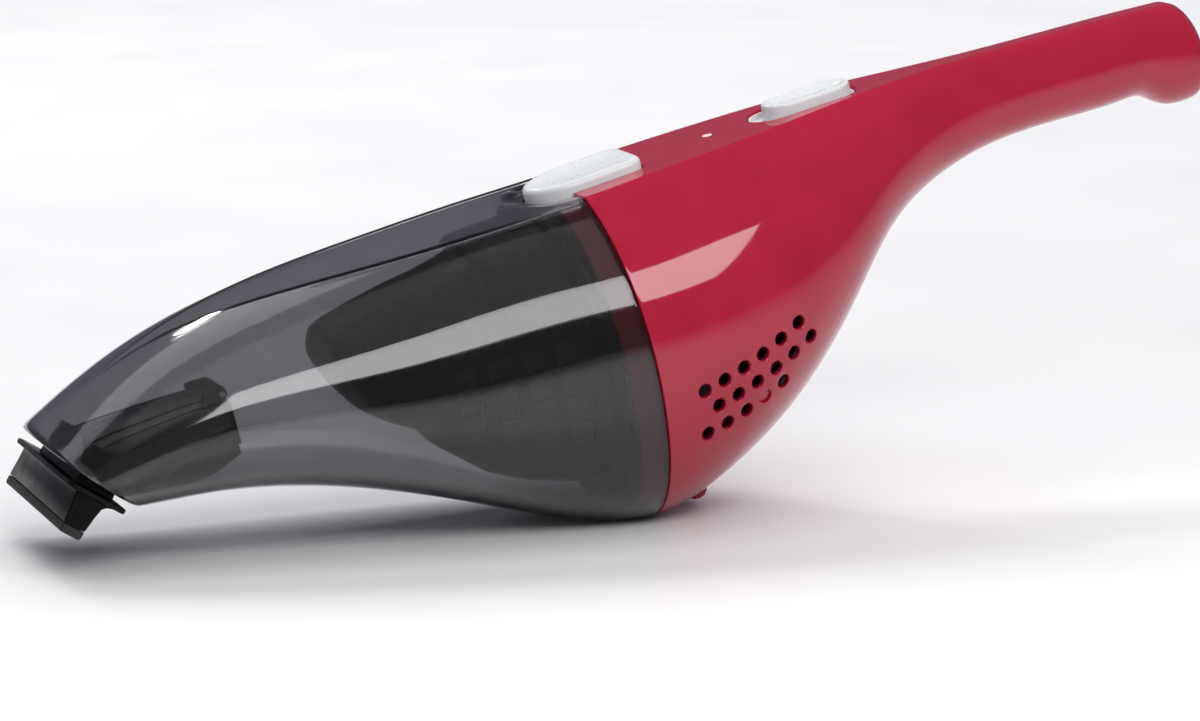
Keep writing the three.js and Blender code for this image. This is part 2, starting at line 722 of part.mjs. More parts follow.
put('dust_cup', dustCup(), SMOKE);
put('inlet_duct', inletDuct(), BLACK);
put('intake_flap', intakeFlap(), RUBBER);
put('flap_pin', flapPin(), STEEL);
put('filter_frame', filterFrame(), BLACK);
put('filter_screen', filterScreen(), BLACK);
put('filter_element', filterElement(), CLOTH);
put('filter_seal', filterSeal(), RUBBER);
put('housing_left', housingHalf(-1), RED);
put('housing_right', housingHalf(1), RED);
put('front_collar', frontCollar(), RED);
put('motor_seal', motorSeal(), RUBBER);
put('fan_shroud', fanShroud(), GREY);
put('motor_holder', motorHolder(), GREY);
put('motor_can', motorCan(), STEEL);
put('motor_end_cap', motorEndCap(), GREY);
put('front_bush', bush(MOTOR.front + 0.3, MOTOR.front + 4.5), BRASS);
put('rear_bush', bush(MOTOR.back - 1.5, MOTOR.back + 2.6), BRASS);
put('motor_shaft', rod('x', 9.8, 63, 0, MOTOR.z, SHAFT_RADIUS, 16), STEEL);
put('impeller', impeller(), BLACK);
put('armature', armature(), COPPER);
CELL_PLACES.forEach((place, i) => put(`battery_cell_${i + 1}`, batteryCell(place), CELL_SKIN));
put('battery_holder', batteryHolder(), GREY);
put('circuit_board', circuitBoard(), GREEN);
put('switch_module', switchModule(), GREY);
put('switch_bezel', switchBezel(), WHITE);
put('switch_knob', switchKnob(), WHITE);
put('release_button', releaseButton(), WHITE);
put('release_spring', releaseSpring(), STEEL);
put('charge_light', chargeLight(), LAMP);
put('charge_socket', chargeSocket(), GREY);
SCREWS.forEach((place, i) => put(`shell_screw_${i + 1}`, shellScrew(place), STEEL));

// the tool sits square on the slanted mouth
const toolSeat = new THREE.Group();
toolSeat.rotation.y = -MOUTH.tilt;
toolSeat.position.set(MOUTH.x, 0, MOUTH.z);
toolSeat.add(toMesh('squeegee_nozzle', squeegeeNozzle(), BLACK));
toolSeat.add(toMesh('squeegee_lip', squeegeeLip(), RUBBER));
vacuum.add(toolSeat);

// stand it on the floor and centre its length over the origin
const stand = new THREE.Group();
stand.add(vacuum);
stand.updateMatrixWorld(true);
const extent = new THREE.Box3().setFromObject(stand, true);
vacuum.position.set(-(extent.min.x + extent.max.x) / 2, 0, -extent.min.z);

export default stand;
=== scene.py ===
import json
import math

import bmesh
import bpy
import numpy as np
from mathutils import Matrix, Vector


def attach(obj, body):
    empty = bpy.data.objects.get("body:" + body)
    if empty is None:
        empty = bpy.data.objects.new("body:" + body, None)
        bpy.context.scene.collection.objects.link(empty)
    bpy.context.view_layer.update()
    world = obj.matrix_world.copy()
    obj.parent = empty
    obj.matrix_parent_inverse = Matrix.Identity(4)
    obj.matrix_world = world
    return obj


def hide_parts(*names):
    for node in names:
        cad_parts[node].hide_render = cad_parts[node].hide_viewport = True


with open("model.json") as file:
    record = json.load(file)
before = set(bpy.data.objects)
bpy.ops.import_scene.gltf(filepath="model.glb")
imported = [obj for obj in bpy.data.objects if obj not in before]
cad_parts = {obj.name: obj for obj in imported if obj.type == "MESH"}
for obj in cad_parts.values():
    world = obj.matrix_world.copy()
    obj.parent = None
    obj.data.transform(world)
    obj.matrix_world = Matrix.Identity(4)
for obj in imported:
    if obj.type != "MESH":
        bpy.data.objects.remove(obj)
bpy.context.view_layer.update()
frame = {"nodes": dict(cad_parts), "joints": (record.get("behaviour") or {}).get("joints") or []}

# ---- the machine's own axis frame: millimetres, x towards the handle, z up from the belly's centre ----
SPIN = next(j for j in frame["joints"] if j["name"] == "rotor_spin")
COS, SIN = SPIN["axis"][0], SPIN["axis"][2]
ORIGIN = np.array(SPIN["pos_m"]) - np.array([0.040 * COS - 0.002 * SIN, 0, 0.040 * SIN + 0.002 * COS])

STATIONS = np.array([
    [-182, 23.5, 9.0, 34.5, 0.0, 6, 15.5],
    [-160, 35.6, 3.0, 37.0, 0.0, 9, 18.0],
    [-130, 46.4, -1.4, 40.5, 4.5, 12, 19.8],
    [-100, 50.0, -9.2, 45.0, 12.6, 14, 16.0],
    [-60, 50.3, -27.2, 48.6, 20.0, 14, 8.6],
    [-25, 50.3, -45.6, 50.4, 22.5, 14, 5.8],
    [0, 50.3, -53.1, 51.3, 22.0, 14, 5.2],
    [25, 50.9, -47.8, 49.4, 21.2, 13, 5.6],
    [50, 51.3, -35.0, 45.2, 19.4, 11, 9.2],
    [75, 51.7, -14.0, 36.8, 15.8, 8, 18.0],
    [95, 51.8, 5.4, 27.8, 12.0, 5, 28.0],
    [115, 51.3, 16.0, 19.4, 7.4, 3, 33.6],
    [135, 50.5, 20.9, 15.4, 4.0, 2, 35.6],
    [165, 49.1, 21.6, 15.0, 3.0, 2, 35.2],
    [186, 48.1, 21.2, 15.0, 3.0, 2, 34.6],
    [193, 47.7, 20.2, 15.1, 3.0, 2, 33.9],
    [198, 47.4, 16.5, 15.3, 3.0, 2, 32.6],
    [204, 47.0, 14.7, 15.4, 3.0, 2, 31.4],
    [211, 46.5, 15.1, 15.2, 3.0, 2, 31.0],
])
CUP_WALL, BODY_WALL = 2.4, 2.2
HANDLE_END, END_LEAN = 209.0, 0.06
SEAM, HALF_GAP = 0.15, 0.07
MOUTH_X, MOUTH_Z, MOUTH_TILT = -161.6, 15.2, math.radians(44)
BUTTON_FRONT, BUTTON_BACK, BUTTON_HALF = -10.8, 24.5, 12.4
RECESS = (64.2, 99.8, 8.6)
KNOB = (69.6, 98.4, 7.2)
SCREWS = [(34.3, -20.2), (84, 19), (150, 35.2), (191, 34)]


def place(points):
    """Points of the axis frame in millimetres, as points of the row frame in metres."""
    p = np.asarray(points, float) * 0.001
    x, y, z = p[..., 0], p[..., 1], p[..., 2]
    row = np.stack([COS * x - SIN * z, y, SIN * x + COS * z], -1) + ORIGIN
    row[..., 2] = np.maximum(row[..., 2], 0.0)
    return row


def natural_spline(xs, ys):
    """Natural cubic spline through the points."""
    n = len(xs)
    h = np.diff(xs)
    matrix = np.eye(n)
    right = np.zeros(n)
    for i in range(1, n - 1):
        matrix[i, i - 1:i + 2] = h[i - 1], 2 * (h[i - 1] + h[i]), h[i]
        right[i] = 6 * ((ys[i + 1] - ys[i]) / h[i] - (ys[i] - ys[i - 1]) / h[i - 1])
    bend = np.linalg.solve(matrix, right)

    def value(at):
        i = np.clip(np.searchsorted(xs, at) - 1, 0, n - 2)
        span = h[i]
        p, q = (xs[i + 1] - at) / span, (at - xs[i]) / span
        cubic = ((p ** 3 - p) * bend[i] + (q ** 3 - q) * bend[i + 1]) * span ** 2
        return p * ys[i] + q * ys[i + 1] + cubic / 6
    return value


CURVES = [natural_spline(STATIONS[:, 0], STATIONS[:, k]) for k in range(1, 7)]


def smoothstep(a, b, x):
    t = np.clip((x - a) / (b - a), 0, 1)
    return t * t * (3 - 2 * t)


# Columns of a half section, from the top's centre line round the side to the keel's centre line.
# Each has a kind (0 facet, 1 ridge, 2 upper arc, 3 lower arc, 4 keel's corner, 5 keel) and a place in it.
def half_columns(facet=14, ridge=5, upper=30, lower=30, corner=4, keel=4):
    kinds, places = [], []
    for kind, count, last in ((0, facet, 0), (1, ridge, 0), (2, upper, 0), (3, lower, 0), (4, corner, 0),
                              (5, keel, 1)):
        kinds += [kind] * (count + last)
        places += list(np.arange(count + last) / count)
    return np.array(kinds), np.array(places)


KIND, PLACE = half_columns()


def skin(x, inset=0.0, kinds=KIND, places=PLACE):
    """Half section heights and half widths: x has one row per station and one column per place."""
    top, bottom, half, facet, keel, mid = [c(x) for c in CURVES]
    shrink = (half - inset) / half
    top, bottom, half = top - inset, bottom + inset, half - inset
    facet, keel = np.maximum(0.8, facet * shrink), np.maximum(0.8, keel * shrink)
    up = (top - mid) / np.sqrt(1 - (facet / half) ** 2)
    down = (mid - bottom) / np.sqrt(1 - (keel / half) ** 2)
    first, last = np.arcsin(facet / half), np.arcsin(keel / half)
    soft_top = np.minimum(0.12, 0.8 * facet)
    soft_keel = np.minimum(2.5, 0.8 * keel)
    a_first = first + soft_top / np.hypot(half * np.cos(first), up * np.sin(first))
    a_last = last + soft_keel / np.hypot(half * np.cos(last), down * np.sin(last))
    t = np.broadcast_to(places, x.shape)
    k = np.broadcast_to(kinds, x.shape)
    arc_up = a_first + (math.pi / 2 - a_first) * t
    arc_down = math.pi / 2 + (a_last - math.pi / 2) * t

    def bezier(p0, p1, p2):
        return (1 - t) ** 2 * p0 + 2 * t * (1 - t) * p1 + t ** 2 * p2
    y = np.select([k == 0, k == 1, k == 2, k == 3, k == 4], [
        (facet - soft_top) * t,
        bezier(facet - soft_top, facet, half * np.sin(a_first)),
        half * np.sin(arc_up),
        half * np.sin(arc_down),
        bezier(half * np.sin(a_last), keel, keel - soft_keel),
    ], (keel - soft_keel) * (1 - t))
    z = np.select([k == 0, k == 1, k == 2, k == 3, k == 4], [
        top + 0 * t,
        bezier(top, top, mid + up * np.cos(a_first)),
        mid + up * np.cos(arc_up),
        mid - down * np.cos(arc_down),
        bezier(mid - down * np.cos(a_last), bottom, bottom),
    ], bottom + 0 * t)
    return y * 0.9996, z


def lean(x, z):
    return x - END_LEAN * smoothstep(180, 205, x) * (z - 31)


# ---- meshes ----
def grid_faces(rows, columns, close_rows=False, close_columns=False, start=0):
    faces = []
    for r in range(rows if close_rows else rows - 1):
        for c in range(columns if close_columns else columns - 1):
            r2, c2 = (r + 1) % rows, (c + 1) % columns
            faces.append((start + r * columns + c, start + r * columns + c2,
                          start + r2 * columns + c2, start + r2 * columns + c))
    return faces


def build(name, points, faces, placed=False):
    """A mesh object from axis-frame points, with its faces turned outwards."""
    mesh = bpy.data.meshes.new(name)
    mesh.from_pydata([tuple(p) for p in (points if placed else place(points))], [], faces)
    work = bmesh.new()
    work.from_mesh(mesh)
    bmesh.ops.remove_doubles(work, verts=work.verts, dist=1e-7)
    bmesh.ops.recalc_face_normals(work, faces=work.faces)
    work.to_mesh(mesh)
    work.free()
    obj = bpy.data.objects.new(name, mesh)
    bpy.context.scene.collection.objects.link(obj)
    return obj


def loft(name, rings):
    """A closed skin over rings that all have the same number of points; the end rings are capped."""
    count = len(rings[0])
    faces = grid_faces(len(rings), count, close_columns=True)
    faces += [tuple(range(count)), tuple(reversed(range((len(rings) - 1) * count, len(rings) * count)))]
    return build(name, np.concatenate(rings), faces)


def ring_band(name, rings):
    """A closed ring with a hole: the last ring joins the first."""
    count = len(rings[0])
    return build(name, np.concatenate(rings), grid_faces(len(rings), count, True, True))


def bake(obj):
    graph = bpy.context.evaluated_depsgraph_get()
    mesh = bpy.data.meshes.new_from_object(obj.evaluated_get(graph))
    obj.modifiers.clear()
    obj.data = mesh
    return obj


def combine(name, parts):
    """One object from several; the first gives its place."""
    work = bmesh.new()
    for part in parts:
        work.from_mesh(part.data)
        bpy.data.objects.remove(part)
    mesh = bpy.data.meshes.new(name)
    work.to_mesh(mesh)
    work.free()
    obj = bpy.data.objects.new(name, mesh)
    bpy.context.scene.collection.objects.link(obj)
    return obj


def boolean(obj, tool, operation="DIFFERENCE"):
    modifier = obj.modifiers.new("cut", "BOOLEAN")
    modifier.operation = operation
    modifier.solver = "EXACT"
    modifier.object = tool
    bake(obj)
    bpy.data.objects.remove(tool)
    return obj


def bevel(obj, width, segments=3, angle=35):
    modifier = obj.modifiers.new("round", "BEVEL")
    modifier.width = width * 0.001
    modifier.segments = segments
    modifier.limit_method = "ANGLE"
    modifier.angle_limit = math.radians(angle)
    modifier.use_clamp_overlap = True
    return bake(obj)


def smooth(obj, angle=32):
    mesh = obj.data
    mesh.polygons.foreach_set("use_smooth", [True] * len(mesh.polygons))
    mesh.set_sharp_from_angle(angle=math.radians(angle))


def finish(obj, body, material, replaces=(), angle=32):
    smooth(obj, angle)
    obj.data.materials.clear()
    obj.data.materials.append(material)
    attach(obj, body)
    if replaces:
        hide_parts(*replaces)
    return obj


# ---- materials ----
def new_material(name):
    material = bpy.data.materials.new(name)
    material.use_nodes = True
    nodes, links = material.node_tree.nodes, material.node_tree.links
    shader = next(n for n in nodes if n.type == "BSDF_PRINCIPLED")
    return material, nodes, links, shader


def noise(nodes, links, scale, detail=3.0, roughness=0.55):
    place_node = nodes.new("ShaderNodeTexCoord")
    texture = nodes.new("ShaderNodeTexNoise")
    texture.inputs["Scale"].default_value = scale
    texture.inputs["Detail"].default_value = detail
    texture.inputs["Roughness"].default_value = roughness
    links.new(place_node.outputs["Object"], texture.inputs["Vector"])
    return texture.outputs["Fac"]


def remap(nodes, links, value, low, high, start=0.3, end=0.7):
    node = nodes.new("ShaderNodeMapRange")
    node.inputs["From Min"].default_value = start
    node.inputs["From Max"].default_value = end
    node.inputs["To Min"].default_value = low
    node.inputs["To Max"].default_value = high
    links.new(value, node.inputs["Value"])
    return node.outputs["Result"]


def tint(nodes, links, factor, a, b):
    node = nodes.new("ShaderNodeMix")
    node.data_type = "RGBA"
    node.inputs[6].default_value = (*a, 1)
    node.inputs[7].default_value = (*b, 1)
    links.new(factor, node.inputs[0])
    return node.outputs[2]


def bump(nodes, links, shader, value, strength, distance):
    node = nodes.new("ShaderNodeBump")
    node.inputs["Strength"].default_value = strength
    node.inputs["Distance"].default_value = distance
    links.new(value, node.inputs["Height"])
    links.new(node.outputs["Normal"], shader.inputs["Normal"])


def linear(red, green, blue):
    return tuple(((c / 255 + 0.055) / 1.055) ** 2.4 if c > 10 else c / 3294.6 for c in (red, green, blue))


def plastic(name, color, dark, rough, grain=900.0, strength=0.06, depth=0.00003, metal=0.0, spread=0.06,
            level=0.5):
    """Moulded plastic or metal: a colour that drifts a little, an uneven gloss and a fine grain."""
    material, nodes, links, shader = new_material(name)
    drift = noise(nodes, links, 60.0)
    links.new(tint(nodes, links, remap(nodes, links, drift, 0, 1), linear(*color), linear(*dark)),
              shader.inputs["Base Color"])
    gloss = noise(nodes, links, 230.0, 4.0)
    evenness = remap(nodes, links, gloss, max(0.02, rough - spread), rough + spread)
    links.new(evenness, shader.inputs["Roughness"])
    bump(nodes, links, shader, noise(nodes, links, grain, 2.0), strength, depth)
    shader.inputs["Metallic"].default_value = metal
    shader.inputs["Specular IOR Level"].default_value = level
    return material


def smoked(name):
    material, nodes, links, shader = new_material(name)
    drift = noise(nodes, links, 25.0)
    mixed = tint(nodes, links, remap(nodes, links, drift, 0, 1), (0.335, 0.338, 0.352), (0.36, 0.362, 0.374))
    links.new(mixed, shader.inputs["Base Color"])
    gloss = noise(nodes, links, 40.0, 1.0)
    links.new(remap(nodes, links, gloss, 0.045, 0.055), shader.inputs["Roughness"])
    bump(nodes, links, shader, noise(nodes, links, 9.0, 0.0), 0.03, 0.0005)
    shader.inputs["IOR"].default_value = 1.49
    shader.inputs["Transmission Weight"].default_value = 1.0
    return material


SMOKE = smoked("smoked_plastic")
RED = plastic("red_gloss", (158, 25, 51), (150, 21, 46), 0.055, grain=110.0, strength=0.03, depth=0.0002,
              spread=0.02)
WHITE = plastic("white_satin", (205, 207, 209), (199, 201, 204), 0.3)
BLACK = plastic("black_satin", (11, 11, 13), (8, 8, 9), 0.34, level=0.12)
FILTER = plastic("filter_black", (13, 13, 15), (8, 8, 10), 0.42, grain=1500.0, strength=0.1, level=0.12)
RUBBER = plastic("black_rubber", (24, 24, 27), (17, 17, 19), 0.62, grain=1800.0, strength=0.25)
GREY = plastic("grey_plastic", (88, 90, 94), (74, 76, 80), 0.45)
STEEL = plastic("steel", (190, 192, 195), (160, 163, 168), 0.28, grain=2500.0, metal=1.0)
BRONZE = plastic("bronze", (176, 138, 74), (150, 112, 60), 0.34, grain=2500.0, metal=1.0)
LAMP = plastic("lamp_lens", (236, 226, 224), (214, 200, 200), 0.12)
DUCT = plastic("duct_black", (42, 41, 44), (33, 32, 35), 0.34)


def banded(name, first, second, scale, axis, rough, metal=0.0):
    """Turns of wire or a printed sleeve: fine bands across one axis, over a noisy base."""
    material, nodes, links, shader = new_material(name)
    coordinates = nodes.new("ShaderNodeTexCoord")
    wave = nodes.new("ShaderNodeTexWave")
    wave.bands_direction = axis
    wave.inputs["Scale"].default_value = scale
    wave.inputs["Distortion"].default_value = 0.6
    links.new(coordinates.outputs["Object"], wave.inputs["Vector"])
    bands = tint(nodes, links, wave.outputs["Fac"], linear(*first), linear(*second))
    links.new(bands, shader.inputs["Base Color"])
    gloss = noise(nodes, links, 500.0)
    links.new(remap(nodes, links, gloss, rough - 0.06, rough + 0.06), shader.inputs["Roughness"])
    bump(nodes, links, shader, wave.outputs["Fac"], 0.3, 0.0002)
    shader.inputs["Metallic"].default_value = metal
    return material


WINDING = banded("copper_winding", (176, 98, 52), (120, 62, 32), 420.0, "Y", 0.36, 0.85)
CELL = banded("cell_sleeve", (44, 104, 160), (38, 92, 146), 30.0, "X", 0.3)
BOARD = banded("circuit_board", (26, 92, 56), (20, 74, 46), 160.0, "Y", 0.4)
CLOTH = banded("filter_cloth", (60, 59, 57), (40, 39, 38), 330.0, "X", 0.85)

# ---- dust cup ----
def mouth_line(z):
    """Where the cup's slanted edge is at a height."""
    return -169.6 - (z - 23.5) * math.tan(math.radians(39.5))


def mouth_start(inset):
    """Where each column's line meets the slanted mouth."""
    low, high = np.full((1, len(KIND)), -182.0), np.full((1, len(KIND)), -120.0)
    for _ in range(40):
        x = (low + high) / 2
        beyond = x > mouth_line(skin(x, inset)[1])
        low, high = np.where(beyond, low, x), np.where(beyond, x, high)
    return x


def around(x, y, z):
    """A full ring of points from the half section's columns."""
    near = np.stack([x, -y, z], -1)
    far = np.stack([x, y, z], -1)[..., -2:0:-1, :]
    return np.concatenate([near, far], -2)


def ease(count):
    t = np.linspace(0, 1, count)
    return 0.5 * t + 0.5 * t * t * (3 - 2 * t)


def dished(x, y, z):
    """The finger's way down to the button: a shallow dish in the facet round the button's front."""
    away = np.hypot((x - (BUTTON_FRONT + 15)) / 15, y / BUTTON_HALF)
    depth = 1.4 * (1 - smoothstep(1.1, 1.5, away))
    return z - depth * smoothstep(40, 48, z)


def cup_rows(inset, back, count, clear):
    """Lines from the seam to the mouth, stopping short of both by the rims' own roundness."""
    start = mouth_start(inset) + clear
    steps = ease(count)[:, None]
    x = back + (start - back) * steps
    y, z = skin(x, inset)
    return x, y, z


def edge_rows(inset, back):
    """The first and last line of one of the cup's faces, at the seam and at the mouth."""
    lines = np.stack(cup_rows(inset, back, 2, 0.0), -1)
    return lines[:1], lines[-1:]


def corner(p0, p1, p2, count):
    """Points of a round corner between two lines, drawn towards a third."""
    t = np.linspace(0, 1, count + 2)[1:-1, None, None]
    return (1 - t) ** 2 * p0 + 2 * t * (1 - t) * p1 + t ** 2 * p2


def cup_shell():
    back = -0.15
    seam_out, rim_out = edge_rows(0.0, back)
    seam_in, rim_in = edge_rows(CUP_WALL, back)
    height = (rim_out[..., 2] - 2) / 28
    soft = 1.1 + 3.1 * smoothstep(0.5, 1.0, height)  # the mouth's edge is rounder at its top
    outer = np.stack(cup_rows(0.0, back - 0.5, 150, soft), -1)
    outer[..., 2] = dished(outer[..., 0], outer[..., 1], outer[..., 2])
    inner = np.stack(cup_rows(CUP_WALL, back - 0.4, 90, 0.8), -1)[::-1]
    rim_mid = (rim_out + rim_in) / 2
    seam_out[..., 2] = dished(seam_out[..., 0], seam_out[..., 1], seam_out[..., 2])
    seam_mid = (seam_out + seam_in) / 2
    rows = np.concatenate([
        outer, corner(outer[-1:], rim_out, rim_mid, 4), rim_mid, corner(rim_mid, rim_in, inner[:1], 3),
        inner, corner(inner[-1:], seam_in, seam_mid, 2), seam_mid, corner(seam_mid, seam_out, outer[:1], 3),
    ])
    points = around(rows[..., 0], rows[..., 1], rows[..., 2])
    count = points.shape[1]
    shell = build("cup_shell", points.reshape(-1, 3), grid_faces(len(points), count, True, True))
    return boolean(shell, prism("notch", button_outline(0.6, 48), 44, 62))


# ---- outlines seen from above ----
def button_outline(clear, steps=64):
    """Boat shape: a half ellipse in front, straight sides and a squared rear with soft corners."""
    half, back, nose = BUTTON_HALF + clear, BUTTON_BACK + clear, BUTTON_FRONT - clear + 15
    points = [(nose + 15 * math.cos(a), half * math.sin(a))
              for a in np.linspace(math.pi / 2, 3 * math.pi / 2, steps)]
    for cx, cy, a0 in ((back - 4.6, -half + 5.2, -90), (back - 4.6, half - 5.2, 0)):
        points += [(cx + 4.6 * math.cos(a), cy + 5.2 * math.sin(a))
                   for a in np.radians(np.linspace(a0, a0 + 90, 10))]
    side = np.linspace(back - 4.6, nose, 12)[1:-1]
    head, tail = points[:steps], points[steps:]
    near = [(x, -half) for x in side[::-1]]
    far = [(x, half) for x in side]
    return np.array(head + near + tail + far)


def pill(front, back, half, inset=0.0, straight=24, turn=20):
    r = half - inset
    a, b = front + half, back - half
    rear = [(b + r * math.cos(t), r * math.sin(t)) for t in np.linspace(-math.pi / 2, math.pi / 2, turn)]
    nose = [(a + r * math.cos(t), r * math.sin(t)) for t in np.linspace(math.pi / 2, 3 * math.pi / 2, turn)]
    along = np.linspace(a, b, straight)[1:-1]
    return np.array(nose + [(x, -r) for x in along] + rear + [(x, r) for x in along[::-1]])


def level(outline, z):
    """An outline raised to a height, which may follow x."""
    z = z(outline[:, 0]) if callable(z) else np.full(len(outline), float(z))
    return np.column_stack([outline, z])


def prism(name, outline, low, high):
    return loft(name, [level(outline, low), level(outline, high)])


def rod(name, axis, start, end, a, b, radius, sides=32, radius_end=None):
    """A turned rod along x, y or z."""
    radius_end = radius if radius_end is None else radius_end
    turn = np.linspace(0, 2 * math.pi, sides, endpoint=False)
    rings = []
    for along, r in ((start, radius), (end, radius_end)):
        u, v, w = np.full(sides, float(along)), a + r * np.cos(turn), b + r * np.sin(turn)
        rings.append(np.column_stack({"x": [u, v, w], "y": [v, u, w], "z": [v, w, u]}[axis]))
    return loft(name, rings)


# ---- body ----
def vent_places():
    """Three rows of exhaust holes; one hole of the lowest row is a blind dimple."""
    for x0, z0, count in ((13.7, -10.3, 6), (17.8, -16.6, 6), (13.3, -24.6, 5)):
        for i in range(count):
            run = i * 7.15
            yield x0 + 0.98 * run, z0 + 0.12 * run + 0.004 * run * run, count == 5 and i == 3


def side_width(x, z):
    """Half width of the body's outside at a place below its widest line."""
    bottom, half, keel, mid = [float(CURVES[k](np.array(x))) for k in (1, 2, 4, 5)]
    down = (mid - bottom) / math.sqrt(1 - (keel / half) ** 2)
    return half * math.sqrt(max(0.0, 1 - ((mid - z) / down) ** 2))


def vent_tools(side):
    tools = []
    turn = np.linspace(0, 2 * math.pi, 32, endpoint=False)
    for x, z, blind in vent_places():
        slope_x = (side_width(x + 1, z) - side_width(x - 1, z)) / 2
        slope_z = (side_width(x, z + 1) - side_width(x, z - 1)) / 2
        out = side_width(x, z)
        rings = []
        floor = -1.1 if blind else -9.0
        for radius, offset in ((2.1, floor), (2.1, -0.5), (2.25, -0.25), (2.62, 0.05), (2.8, 2.0)):
            dx, dz = radius * np.cos(turn), radius * np.sin(turn)
            y = out + slope_x * dx + slope_z * dz + offset
            rings.append(np.column_stack([x + dx, side * y, z + dz]))
        tools.append(loft("vent", rings))
    return combine("vents", tools)


def rounded_end(body):
    """The lines of the handle's rounded end, beyond the last line of its skin."""
    end = body[-1:]
    centre = np.array([end[0, :, 0].mean(), 0.0, end[0, :, 2].mean()])
    turns = np.radians([8, 16, 24, 32, 40, 48, 56, 64, 72, 79, 85])
    crown = [(math.cos(a) ** 0.9, 7.3 * math.sin(a)) for a in turns] + [(0.0, 7.35)]
    return np.concatenate([centre + (end - centre) * scale + [shift, 0, 0] for scale, shift in crown])


def body_layer(inset):
    """One face of a body half: its lines along the body and over the handle's end."""
    xs = 0.65 + (HANDLE_END - 1.45) * ease(190)
    if inset:
        xs = SEAM + (xs - xs[0]) * ((xs[-1] - inset - SEAM) / (xs[-1] - xs[0]))
    x = np.repeat(xs[:, None], len(KIND), 1)
    y, z = skin(x, inset)
    body = np.stack([lean(x, z), y, z], -1)
    return np.concatenate([body, rounded_end(body)])


def body_half(side):
    outer, inner = body_layer(0.0), body_layer(BODY_WALL)
    front = np.full((1, len(KIND)), SEAM)
    rim_out = np.stack([front, *skin(front, 0.0)], -1)
    rim_in = inner[:1]
    rim_mid = rim_out * 0.55 + rim_in * 0.45
    rim = np.concatenate([corner(outer[:1], rim_out, rim_mid, 3), rim_mid])
    step = np.linspace(0.2, 1, len(rim))[:, None, None]
    outer = np.concatenate([rim[::-1], outer])
    inner = np.concatenate([rim_mid * (1 - step) + rim_in * step, inner])
    rows, columns = outer.shape[:2]
    for layer in (outer, inner):
        layer[..., 1] = np.maximum(layer[..., 1], HALF_GAP)
    points = np.concatenate([outer.reshape(-1, 3), inner.reshape(-1, 3)])
    points[:, 1] *= side
    size = rows * columns
    last = (rows - 1) * columns
    faces = grid_faces(rows, columns) + grid_faces(rows, columns, start=size)
    for r in range(rows - 1):
        for c in (0, columns - 1):
            a, b = r * columns + c, (r + 1) * columns + c
            faces.append((a, b, size + b, size + a))
    for start in (0, last):
        for c in range(start, start + columns - 1):
            faces.append((c, c + 1, size + c + 1, size + c))
    shell = build("body_shell_left" if side < 0 else "body_shell_right", points, faces)
    boolean(shell, vent_tools(side))
    recess, wide = pill(*RECESS), pill(*RECESS, inset=-0.75)
    cuts = [
        prism("slot", button_outline(0.45), 40, 62),
        loft("recess", [level(recess, 48.2), level(recess, 51.0), level(wide, 51.75), level(wide, 60)]),
        rod("lamp", "z", 40, 60, 50, 0, 1.8),
        rod("socket", "x", 190, 230, 0, 31, 5.25),
    ]
    if side > 0:
        for i, (x, z) in enumerate(SCREWS):
            cuts.append(rod(f"screw_{i}", "y", screw_seat(x), 60, x, z, 3.0, 24))
    return boolean(shell, combine("cuts", cuts))


def screw_seat(x):
    return min(float(CURVES[2](np.array(float(x)))) - 6, 30)


def screw_wells():
    """Sleeves inside the right half that the shell screws stand in."""
    wells = []
    for x, z in SCREWS:
        seat = screw_seat(x)
        turn = np.linspace(0, 2 * math.pi, 32, endpoint=False)

        def ring(y, r):
            return np.column_stack([x + r * np.cos(turn), np.full(32, y), z + r * np.sin(turn)])
        wells.append(ring_band("well", [ring(0.3, 3.9), ring(seat + 3.2, 3.7), ring(seat + 3.2, 3.02),
                                        ring(seat, 3.02), ring(seat, 1.75), ring(0.3, 1.75)]))
    return combine("screw_wells", wells)


def foot_tab():
    """The small foot under the belly: a tongue with a round nose."""
    profile = [(14.6, -49), (14.9, -53.0), (15.8, -55.0), (17.4, -56.1), (19.2, -56.3), (20.9, -55.8),
               (22.0, -54.6), (22.4, -52.6), (22.4, -47.2)]
    root_x, root_z = 18.6, -49
    rings = []
    for y, scale in ((-4.4, 0.86), (-4.1, 0.95), (-3.4, 1.0), (3.4, 1.0), (4.1, 0.95), (4.4, 0.86)):
        rings.append(np.array([[root_x + (x - root_x) * scale, y, root_z + (z - root_z) * scale]
                               for x, z in profile]))
    return bevel(loft("foot_tab", rings), 0.5)


